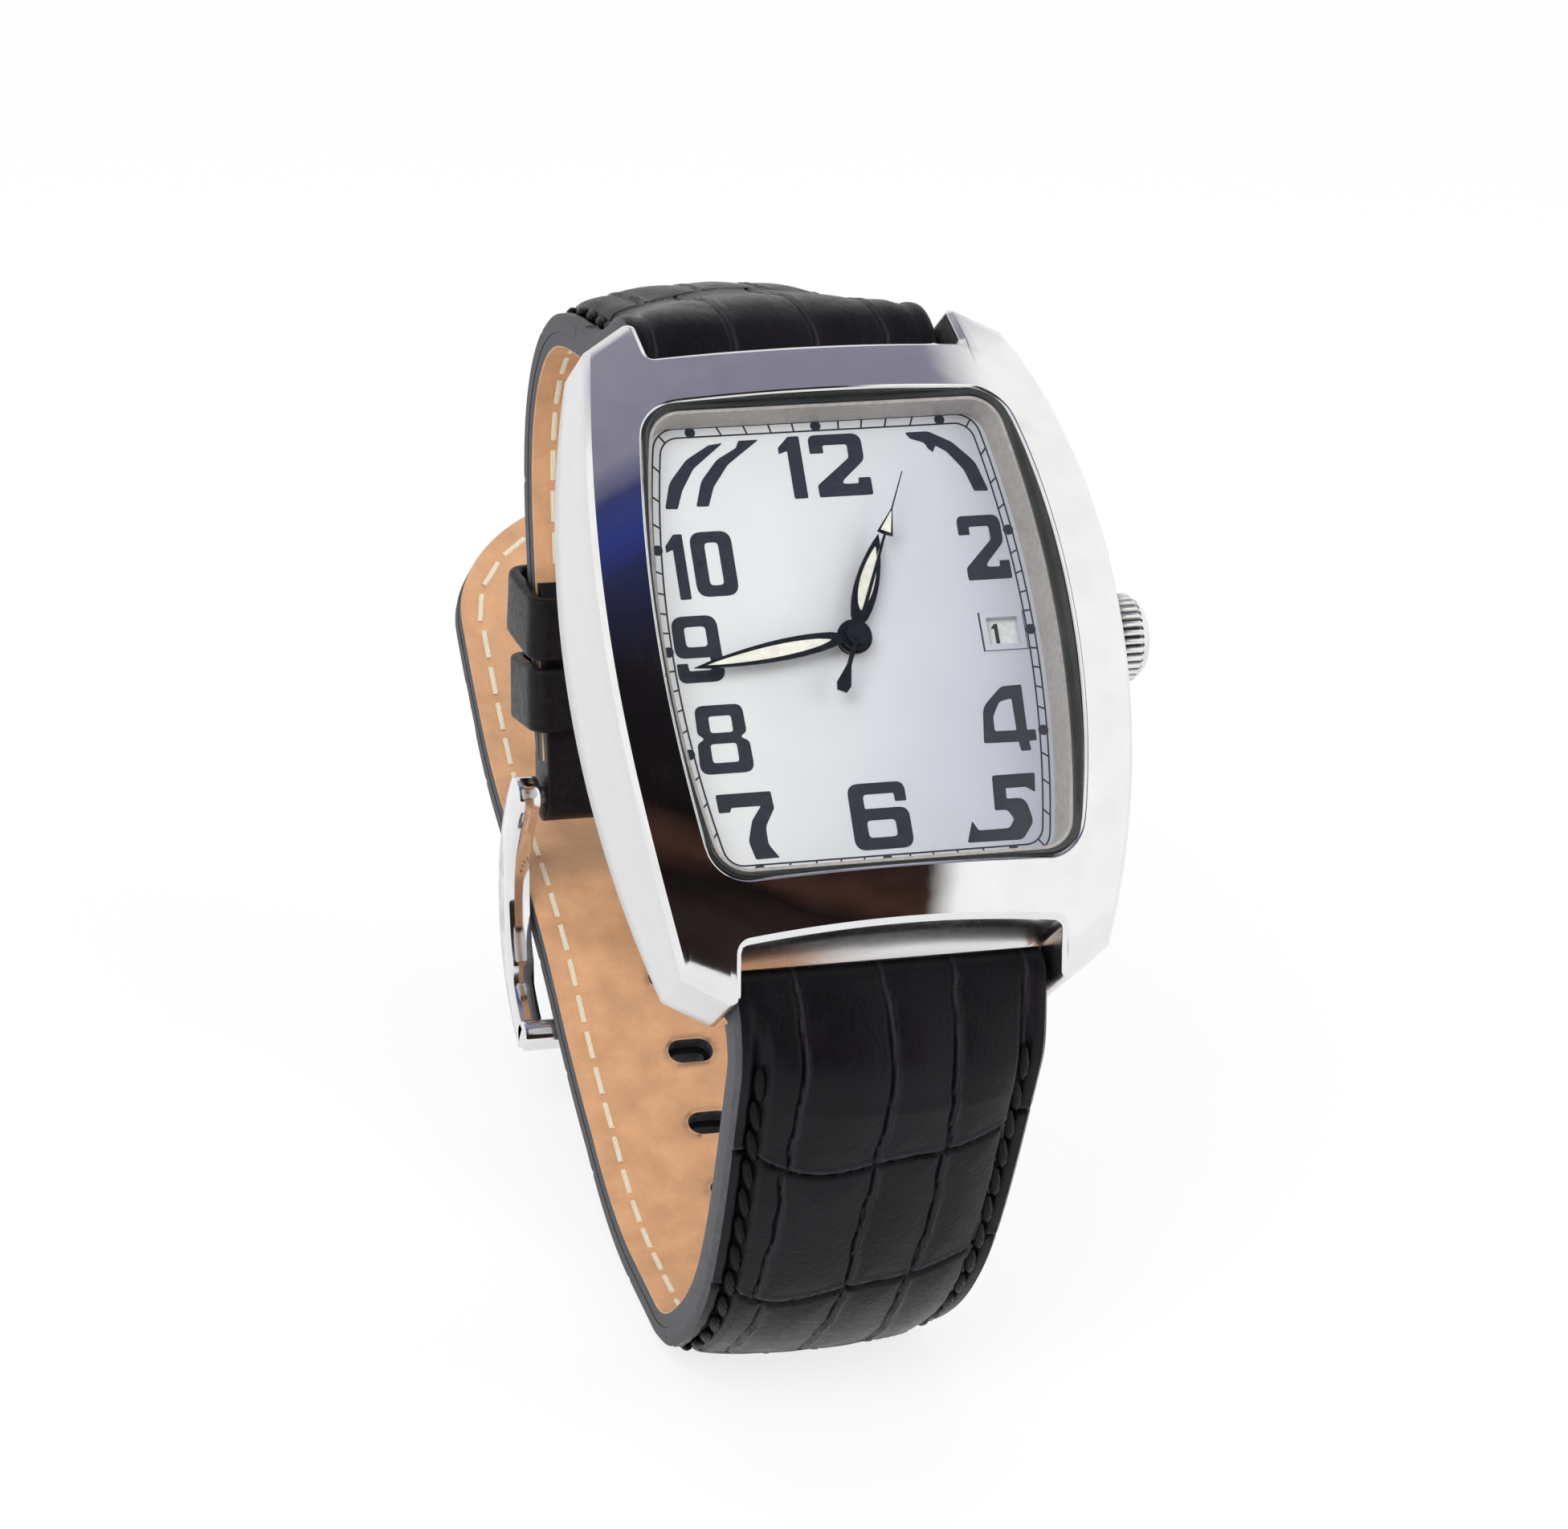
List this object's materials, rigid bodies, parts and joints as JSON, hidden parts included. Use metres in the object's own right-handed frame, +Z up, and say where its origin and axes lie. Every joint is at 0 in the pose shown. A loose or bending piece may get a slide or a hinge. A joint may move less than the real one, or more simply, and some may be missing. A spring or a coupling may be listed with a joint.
{
  "type": "automatic wristwatch",
  "caption": "Automatic wristwatch: a tonneau steel case on a padded leather strap, buckled into a loop that stands on its flattened underside.",
  "frame": {"origin": "middle of the flattened rest under the strap loop, on the ground", "axes": "+X towards the crown, +Y away from the viewer who faces the dial, +Z up; the dial faces -Y and 43.5 degrees upwards"},
  "size_m": [0.0393, 0.0871, 0.0699],
  "materials": {
    "case_steel": "satin flanks with polished bevels",
    "polished_steel": "polished steel",
    "inner_steel": "fine turned steel",
    "blued_screws": "blued",
    "sapphire": "clear, polished",
    "black_rubber": "dull",
    "dial_silver": "silver white, fine grain",
    "ring_beige": "satin beige grey",
    "hand_black": "gloss black with cream inlay",
    "date_white": "matte white",
    "plate_nickel": "nickel plated brass",
    "gilt_brass": "gilt",
    "rotor_metal": "nickel plated, brushed",
    "spring_steel": "tempered",
    "black_leather": "crocodile grain, satin",
    "tan_lining": "smooth, matte"
  },
  "bodies": {
    "case": {"case_middle": "case_steel", "crystal": "sapphire", "crystal_gasket": "black_rubber", "dial_ring": "ring_beige", "dial": "dial_silver", "case_back": "case_steel", "case_back_gasket": "black_rubber", "case_back_screws": "inner_steel", "crown_tube": "inner_steel", "mainplate": "plate_nickel", "train_bridge": "plate_nickel", "bridge_screws": "blued_screws", "balance_cock": "plate_nickel", "rotor_bearing": "inner_steel", "movement_ring": "plate_nickel", "movement_clamps": "inner_steel", "upper_spring_bar": "inner_steel", "lower_spring_bar": "inner_steel", "short_strap_outer": "black_leather", "short_strap_lining": "tan_lining", "long_strap_outer": "black_leather", "long_strap_lining": "tan_lining", "fixed_keeper": "black_leather"},
    "winding_pinion": {"sliding_pinion": "inner_steel"},
    "crown": {"crown": "polished_steel", "crown_gasket": "black_rubber", "winding_stem": "inner_steel"},
    "setting_lever": {"setting_lever": "inner_steel"},
    "minute": {"minute_hand": "hand_black", "cannon_pinion": "inner_steel"},
    "hour": {"hour_hand": "hand_black", "hour_wheel": "gilt_brass"},
    "minute_wheel": {"minute_wheel": "gilt_brass"},
    "seconds": {"seconds_hand": "hand_black", "fourth_wheel": "gilt_brass"},
    "third": {"third_wheel": "gilt_brass"},
    "centre": {"centre_wheel": "gilt_brass"},
    "barrel": {"barrel": "gilt_brass", "mainspring": "spring_steel"},
    "ratchet": {"ratchet_wheel": "inner_steel"},
    "escape": {"escape_wheel": "inner_steel"},
    "pallet": {"pallet_fork": "inner_steel"},
    "balance": {"balance_wheel": "gilt_brass", "hairspring": "spring_steel"},
    "date": {"date_disc": "date_white"},
    "rotor": {"rotor": "rotor_metal"},
    "buckle": {"buckle_frame": "polished_steel", "buckle_spring_bar": "inner_steel"},
    "tongue": {"buckle_tongue": "polished_steel"},
    "free_keeper": {"free_keeper": "black_leather"}
  },
  "joints": [
    {"name": "crown_turn", "type": "hinge", "parent": "case", "child": "winding_pinion", "pos_m": [0.012, -0.00297, 0.05151], "axis": [1, 0, 0], "continuous": true},
    {"name": "crown_pull", "type": "slide", "parent": "winding_pinion", "child": "crown", "axis": [1, 0, 0], "range_m": [0, 0.0016]},
    {"name": "setting_lever_swing", "type": "hinge", "parent": "case", "child": "setting_lever", "pos_m": [0.012, -0.00364, 0.05546], "axis": [0, -0.7254, 0.6884], "range_deg": [0, 39.2]},
    {"name": "minute_turn", "type": "hinge", "parent": "case", "child": "minute", "pos_m": [0, -0.00529, 0.05372], "axis": [0, 0.7254, -0.6884], "continuous": true},
    {"name": "hour_turn", "type": "hinge", "parent": "case", "child": "hour", "pos_m": [0, -0.00529, 0.05372], "axis": [0, 0.7254, -0.6884], "continuous": true},
    {"name": "minute_wheel_turn", "type": "hinge", "parent": "case", "child": "minute_wheel", "pos_m": [0.00197, -0.00624, 0.05272], "axis": [0, 0.7254, -0.6884], "continuous": true},
    {"name": "seconds_turn", "type": "hinge", "parent": "case", "child": "seconds", "pos_m": [0, -0.00529, 0.05372], "axis": [0, 0.7254, -0.6884], "continuous": true},
    {"name": "third_turn", "type": "hinge", "parent": "case", "child": "third", "pos_m": [0.00213, -0.00783, 0.05105], "axis": [0, 0.7254, -0.6884], "continuous": true},
    {"name": "centre_turn", "type": "hinge", "parent": "case", "child": "centre", "pos_m": [0, -0.00529, 0.05372], "axis": [0, 0.7254, -0.6884], "continuous": true},
    {"name": "barrel_turn", "type": "hinge", "parent": "case", "child": "barrel", "pos_m": [-0.00102, -0.0013, 0.05792], "axis": [0, 0.7254, -0.6884], "continuous": true},
    {"name": "ratchet_turn", "type": "hinge", "parent": "case", "child": "ratchet", "pos_m": [-0.00102, -0.0013, 0.05792], "axis": [0, 0.7254, -0.6884], "continuous": true},
    {"name": "escape_turn", "type": "hinge", "parent": "case", "child": "escape", "pos_m": [-0.00404, -0.00604, 0.05293], "axis": [0, 0.7254, -0.6884], "continuous": true},
    {"name": "pallet_rock", "type": "hinge", "parent": "case", "child": "pallet", "pos_m": [-0.00453, -0.00797, 0.0509], "axis": [0, 0.7254, -0.6884], "range_deg": [-5, 5]},
    {"name": "balance_swing", "type": "hinge", "parent": "case", "child": "balance", "pos_m": [-0.00533, -0.01003, 0.04873], "axis": [0, 0.7254, -0.6884], "range_deg": [-150, 150]},
    {"name": "date_turn", "type": "hinge", "parent": "case", "child": "date", "pos_m": [0, -0.00529, 0.05372], "axis": [0, 0.7254, -0.6884], "continuous": true},
    {"name": "rotor_turn", "type": "hinge", "parent": "case", "child": "rotor", "pos_m": [0, -0.00529, 0.05372], "axis": [0, 0.7254, -0.6884], "continuous": true},
    {"name": "buckle_pivot", "type": "hinge", "parent": "case", "child": "buckle", "pos_m": [0, 0.03332, 0.02438], "axis": [1, 0, 0], "range_deg": [0, 0.8]},
    {"name": "tongue_pivot", "type": "hinge", "parent": "buckle", "child": "tongue", "pos_m": [0, 0.03332, 0.02438], "axis": [1, 0, 0], "range_deg": [0, 0.7]},
    {"name": "free_keeper_slide", "type": "slide", "parent": "case", "child": "free_keeper", "axis": [0, 0.2334, 0.9724], "range_m": [0, 0.0018]}
  ],
  "couplings": [
    {"joint": "setting_lever_swing", "follows": "crown_pull", "rad_per_m": 424.8},
    {"joint": "hour_turn", "follows": "minute_turn", "ratio": 0.083333},
    {"joint": "minute_wheel_turn", "follows": "minute_turn", "ratio": -0.33333},
    {"joint": "third_turn", "follows": "seconds_turn", "ratio": -0.13333},
    {"joint": "centre_turn", "follows": "seconds_turn", "ratio": 0.016667},
    {"joint": "barrel_turn", "follows": "seconds_turn", "ratio": -0.0027778},
    {"joint": "escape_turn", "follows": "seconds_turn", "ratio": -10}
  ]
}
